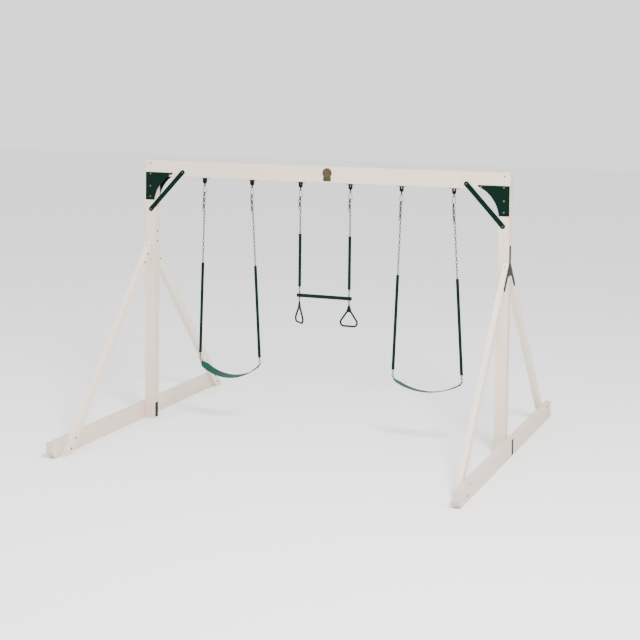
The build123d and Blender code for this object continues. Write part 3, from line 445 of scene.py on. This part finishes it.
def rounded(profile, radius, steps=4):
    """The closed profile with every corner cut by an arc-like curve of about the given radius.

    Each corner P between neighbours A and B becomes the curve (1-t)^2 P1 + 2t(1-t) P + t^2 P2,
    where P1 and P2 lie the radius away from P towards A and B.
    """
    profile = np.array(profile, float)
    before = np.roll(profile, 1, axis=0) - profile
    after = np.roll(profile, -1, axis=0) - profile
    cut = np.minimum(radius, 0.45 * np.minimum(np.linalg.norm(before, axis=1),
                                               np.linalg.norm(after, axis=1)))[:, None]
    first = profile + before / np.linalg.norm(before, axis=1)[:, None] * cut
    last = profile + after / np.linalg.norm(after, axis=1)[:, None] * cut
    t = np.linspace(0, 1, steps)[None, :, None]
    curve = (1 - t)**2 * first[:, None] + 2 * t * (1 - t) * profile[:, None] + t**2 * last[:, None]
    curve = curve.reshape(-1, 2)
    return np.vstack([curve, curve[:1]])


# %% [markdown]
# ## The grips
# Each grip is a length of soft hose over the chain. Its ends are cut square and their rims have
# rounded with use, and the mouth is wide enough for the links. The hose thickens a little towards
# its ends, where it was pushed over the links.


# %% Grips
grip_mouth, grip_bore, mouth_depth = 0.0106, 0.0060, 0.0240


def chain_grip_axis(points):
    """Middle, unit axis pointing up and half length of one grip's points, from their spread."""
    middle = (points.min(axis=0) + points.max(axis=0)) / 2
    axis = np.linalg.svd(points - points.mean(axis=0), full_matrices=False)[2][0]
    axis *= np.sign(axis[2])
    reach = (points - middle) @ axis
    return middle, axis, (reach.max() - reach.min()) / 2


def node_points(name):
    """All vertices of a node."""
    mesh = nodes[name].data
    flat = np.empty(3 * len(mesh.vertices))
    mesh.vertices.foreach_get("co", flat)
    return flat.reshape(-1, 3)


def grip_grid(points):
    """Hose of radius r0 + 0.4 mm near its ends, with rounded rims and a wide mouth."""
    middle, axis, half = chain_grip_axis(points)
    off_axis = points - middle
    radius = np.linalg.norm(off_axis - np.outer(off_axis @ axis, axis), axis=1).max() - 0.0004
    along = np.linspace(-1, 1, 25) * (half - 0.012)
    swell = radius - 0.0006 + 0.0006 * (along / half)**8
    outer = [(-half, radius), *zip(along, swell), (half, radius)]
    inner = [(half, grip_mouth), (half - mouth_depth, grip_mouth), (half - mouth_depth, grip_bore),
             (mouth_depth - half, grip_bore), (mouth_depth - half, grip_mouth), (-half, grip_mouth)]
    return turned_profile(rounded(outer + inner, 0.0013), middle, axis)


for seat in ("left_swing", "right_swing", "trapeze"):
    points = node_points(f"{seat}_grips")
    split = (points[:, 0].min() + points[:, 0].max()) / 2
    sides = [points[points[:, 0] < split], points[points[:, 0] > split]]
    grip_hoses = grid_mesh(f"{seat}_grip_hoses", [grip_grid(side) for side in sides], grip_green)
    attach(grip_hoses, "trapeze_hangers" if seat == "trapeze" else seat)
    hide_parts(f"{seat}_grips")
print("grips done")

# %% [markdown]
# ## The belt seats
# A belt seat is one strip of thick rubber, hung by a sleeve at each end, so it takes the shape of
# a shallow arc. It keeps its full width almost to the sleeves, its edges are rolled, and
# shallow grooves run along its upper face for grip.


# %% Belts
belt_length, belt_half_width, belt_half_thickness = 0.652, 0.070, 0.0040
sleeve_radius, sleeve_bore, sleeve_half = 0.0080, 0.0036, 0.0180
end_below_links = 0.0237
groove_depth, groove_pitch, grooved_half_width = 0.0005, 0.014, 0.055


def belt_half_width_at(inward):
    """Half width at a distance inwards from the sleeve: narrow, a shoulder, then full width."""
    return np.interp(inward, [0, 0.0050, 0.0135, 0.0430, 0.0700],
                     [0.0165, 0.0170, 0.0455, 0.0690, belt_half_width])


def belt_grid(half_chord, rows=121, columns=64):
    """The strip: an arc of radius R in the upright plane, thickened by a rounded section.

    The sag s follows from the strip's length L and chord c as sqrt(3/8 (L - c) c), and
    R = (c^2/4 + s^2) / 2s. Round the section, y = w cos-like and t = h sin-like, both with small
    powers so that the faces are flat and the edges round; grooves lower the upper face.
    """
    chord = 2 * half_chord
    sag = math.sqrt(3 / 8 * (belt_length - chord) * chord)
    bend = (half_chord**2 + sag**2) / (2 * sag)
    reach = math.asin(half_chord / bend)
    angle = np.linspace(-reach, reach, rows)[:, None]
    turn = np.linspace(0, 2 * np.pi, columns, endpoint=False)[None]
    inward = np.maximum(bend * (reach - np.abs(angle)), 0.0)
    across = np.sign(np.cos(turn)) * np.abs(np.cos(turn))**0.45 * belt_half_width_at(inward)
    fade = np.clip(inward / 0.0015, 0.02, 1)
    rise = np.sign(np.sin(turn)) * np.abs(np.sin(turn))**0.40 * belt_half_thickness * fade
    groove = groove_depth * (np.cos(across * 2 * np.pi / groove_pitch) > 0.55)
    full = np.clip((inward - 0.045) / 0.01, 0, 1) * (np.abs(across) < grooved_half_width)
    rise = rise - groove * full * (rise > 0.003)
    x = (bend - rise) * np.sin(angle)
    z = -sag + bend - (bend - rise) * np.cos(angle)
    return np.stack([x, across + 0 * x, z], axis=-1)[:, ::-1]


def leaned(grid, place, lean):
    """Shift the grid below the last links and turn it about them by lean degrees."""
    angle = math.radians(lean)
    y, z = grid[..., 1], grid[..., 2] - end_below_links
    return np.stack([grid[..., 0] + place[0],
                     place[1] + y * math.cos(angle) - z * math.sin(angle),
                     place[2] + y * math.sin(angle) + z * math.cos(angle)], axis=-1)


joints = {joint["name"]: joint for joint in frame["joints"]}
sleeve_profile = rounded([(-sleeve_half, sleeve_radius), (sleeve_half, sleeve_radius),
                          (sleeve_half, sleeve_bore), (-sleeve_half, sleeve_bore)], 0.0012)
for seat, lean in (("left_seat", 2.0), ("right_seat", -9.0)):
    low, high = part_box(f"{seat}_belt")
    half_chord = (high[0] - low[0]) / 2 - sleeve_radius
    place = joints[f"{seat}_tilt"]["pos_m"]
    grids = [belt_grid(half_chord)]
    grids += [turned_profile(sleeve_profile, (end, 0, 0), (0, 1, 0))
              for end in (-half_chord, half_chord)]
    belt = grid_mesh(f"{seat}_rubber_belt", [leaned(grid, place, lean) for grid in grids],
                     belt_green)
    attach(belt, seat)
    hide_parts(f"{seat}_belt")
    print(seat, "chord", round(2 * half_chord, 4))

# %% [markdown]
# ## The badge's relief
# The casting has a plain sunburst on its round head and two bars on its foot. It is a disc whose
# height rises and falls with the angle, so it is one more surface of two numbers.

# %% Relief
badge_low, badge_high = (np.array(corner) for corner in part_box("beam_badge"))
head_radius = (badge_high[0] - badge_low[0]) / 2 - 0.0055
head = ((badge_low[0] + badge_high[0]) / 2, badge_high[2] - 0.0055 - head_radius)
back = badge_low[1] + 0.0010
dome_rise, ray_rise, bar_half_length, bar_radius = 0.0022, 0.0016, 0.026, 0.0016


def relief_grid(rays=16, rows=24, columns=192):
    """A disc whose height is a dome in the middle plus rays, (1 + cos(16 a)) / 2 at each angle."""
    share = np.linspace(0, 1, rows)[:, None]
    angle = np.linspace(0, 2 * np.pi, columns, endpoint=False)[None]
    dome = dome_rise * np.clip(1 - (share / 0.34)**2, 0, 1)**0.5
    ray = ray_rise * (0.5 + 0.5 * np.cos(rays * angle)) * np.clip((share - 0.36) * 6, 0, 1)
    ray = ray * np.clip((1 - share) * 8, 0, 1)
    x = head[0] + head_radius * share * np.cos(angle)
    z = head[1] + head_radius * share * np.sin(angle)
    return np.stack([x, back - 0.0002 - dome - ray + 0 * x, z], axis=-1)


def bar_grid(height):
    """A small rounded bar across the foot at this height."""
    profile = rounded([(-bar_half_length, 0.0001), (bar_half_length, 0.0001),
                       (bar_half_length, bar_radius), (-bar_half_length, bar_radius)], 0.001)
    return turned_profile(profile, (head[0], back, height), (1, 0, 0), 24)


relief = grid_mesh("badge_relief", [relief_grid()[::-1]] + [
    bar_grid(badge_low[2] + rise) for rise in (0.012, 0.020)], finishes["beam_badge"])
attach(relief, "frame")

# %% [markdown]
# ## Every node takes its finish
# The floor takes a plain pale one.

# %% Put the finishes on
for name, node in nodes.items():
    node.data.materials.clear()
    node.data.materials.append(finishes[name])
pale = Finish("pale_floor", specular=0.2)
floor_mesh.materials.append(pale.surface(Base_Color=(0.92, 0.92, 0.92), Roughness=0.9))
print(len(finishes), "nodes with a finish")
